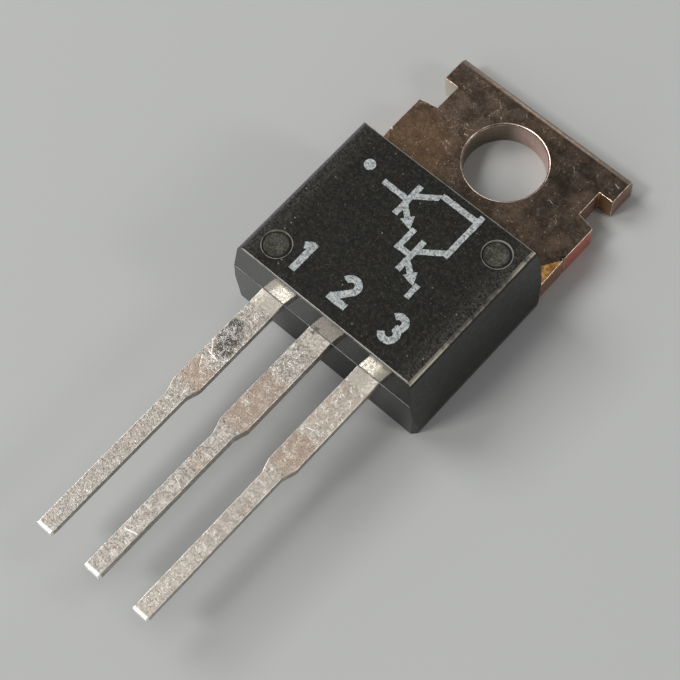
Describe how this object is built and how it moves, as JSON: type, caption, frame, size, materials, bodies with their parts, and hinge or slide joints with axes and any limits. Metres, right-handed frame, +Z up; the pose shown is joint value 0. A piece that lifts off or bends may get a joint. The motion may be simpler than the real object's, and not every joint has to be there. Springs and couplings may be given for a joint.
{
  "type": "darlington transistor",
  "caption": "Moulded power transistor on its back: black epoxy case, notched copper mounting tab with one hole, and three straight flat leads.",
  "frame": {"origin": "centre of the mounting hole, on the mounting face", "axes": "+Z up out of the mounting face, +Y from the leads towards the tab's free end, +X across the leads from the base lead to the emitter lead"},
  "size_m": [0.0098, 0.0271, 0.0045],
  "materials": {
    "tab_copper": "stamped copper, tarnished brown, with fresh copper on the sheared sides; the centre lead is tin plated",
    "lead_tin": "dull tin plate, speckled, over copper",
    "case_epoxy": "moulded black epoxy, matte top and smooth sides",
    "solder": "soft solder",
    "silicon": "polished silicon with aluminium bond pads",
    "bond_aluminium": "drawn aluminium wire"
  },
  "bodies": {
    "root": {"header_collector": "tab_copper", "base_lead": "lead_tin", "emitter_lead": "lead_tin", "case": "case_epoxy", "die_solder": "solder", "die": "silicon", "base_wire": "bond_aluminium", "emitter_wire": "bond_aluminium"}
  },
  "joints": []
}
